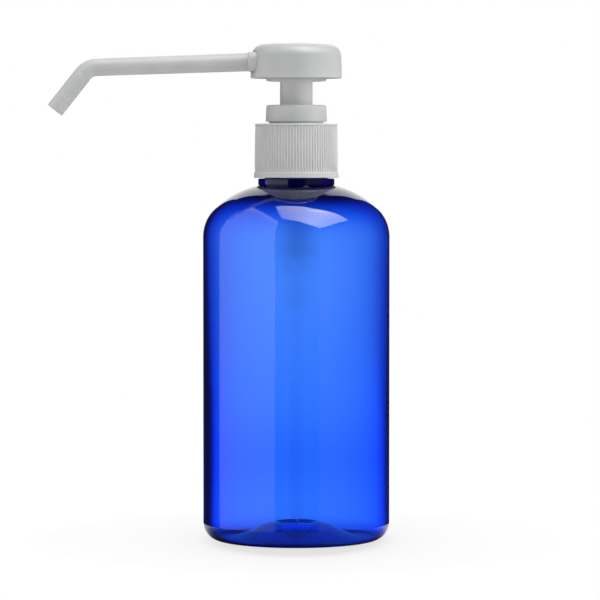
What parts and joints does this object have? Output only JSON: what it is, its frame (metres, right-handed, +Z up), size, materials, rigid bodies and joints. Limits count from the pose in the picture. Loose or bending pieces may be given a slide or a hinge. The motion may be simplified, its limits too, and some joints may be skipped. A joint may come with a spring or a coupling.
{
  "type": "pump bottle",
  "caption": "Round transparent bottle with a ribbed screw collar and a lotion pump whose long thin spout bends down at its end.",
  "frame": {"origin": "on the bottle's axis, in the plane of the surface that it stands on, 1 mm below the flat gate pad in the middle of its base", "axes": "+Z up the bottle's axis, -X along the spout, +Y away from the picture's camera"},
  "size_m": [0.1354, 0.074, 0.1972],
  "materials": {
    "bottle": "clear blue, glossy",
    "closure": "satin white",
    "neck_gasket": "soft foam",
    "housing": "natural, slightly cloudy",
    "lock_ring": "satin white",
    "stem": "satin white",
    "valve_rod": "natural",
    "piston": "natural, waxy",
    "return_spring": "drawn wire",
    "inlet_ball": "polished",
    "ball_retainer": "satin white",
    "dip_tube": "clear, slightly cloudy",
    "pump_head": "satin white",
    "spout": "satin white"
  },
  "bodies": {
    "bottle_body": {"bottle": "bottle"},
    "pump_body": {"housing": "housing", "neck_gasket": "neck_gasket", "lock_ring": "lock_ring", "ball_retainer": "ball_retainer", "dip_tube": "dip_tube", "return_spring": "return_spring"},
    "closure_body": {"closure": "closure"},
    "rod_body": {"valve_rod": "valve_rod"},
    "piston_body": {"piston": "piston"},
    "ball_body": {"inlet_ball": "inlet_ball"},
    "head_body": {"pump_head": "pump_head", "spout": "spout", "stem": "stem"}
  },
  "joints": [
    {"name": "pump_lift_off", "type": "slide", "parent": "bottle_body", "child": "pump_body", "axis": [0, 0, 1], "range_m": [0, 0.16]},
    {"name": "closure_turn", "type": "hinge", "parent": "pump_body", "child": "closure_body", "pos_m": [0, 0, 0.1439], "axis": [0, 0, 1], "continuous": true},
    {"name": "pump_stroke", "type": "slide", "parent": "pump_body", "child": "rod_body", "axis": [0, 0, -1], "range_m": [0, 0.0091], "stiffness_N_per_m": 700, "springref_m": -0.009, "deforming": ["return_spring"]},
    {"name": "head_swivel", "type": "hinge", "parent": "rod_body", "child": "head_body", "pos_m": [0, 0, 0.1729], "axis": [0, 0, 1], "continuous": true},
    {"name": "piston_lag", "type": "slide", "parent": "rod_body", "child": "piston_body", "axis": [0, 0, 1], "range_m": [0, 0.001]},
    {"name": "inlet_ball_lift", "type": "slide", "parent": "pump_body", "child": "ball_body", "axis": [0, 0, 1], "range_m": [0, 0.0012]}
  ]
}
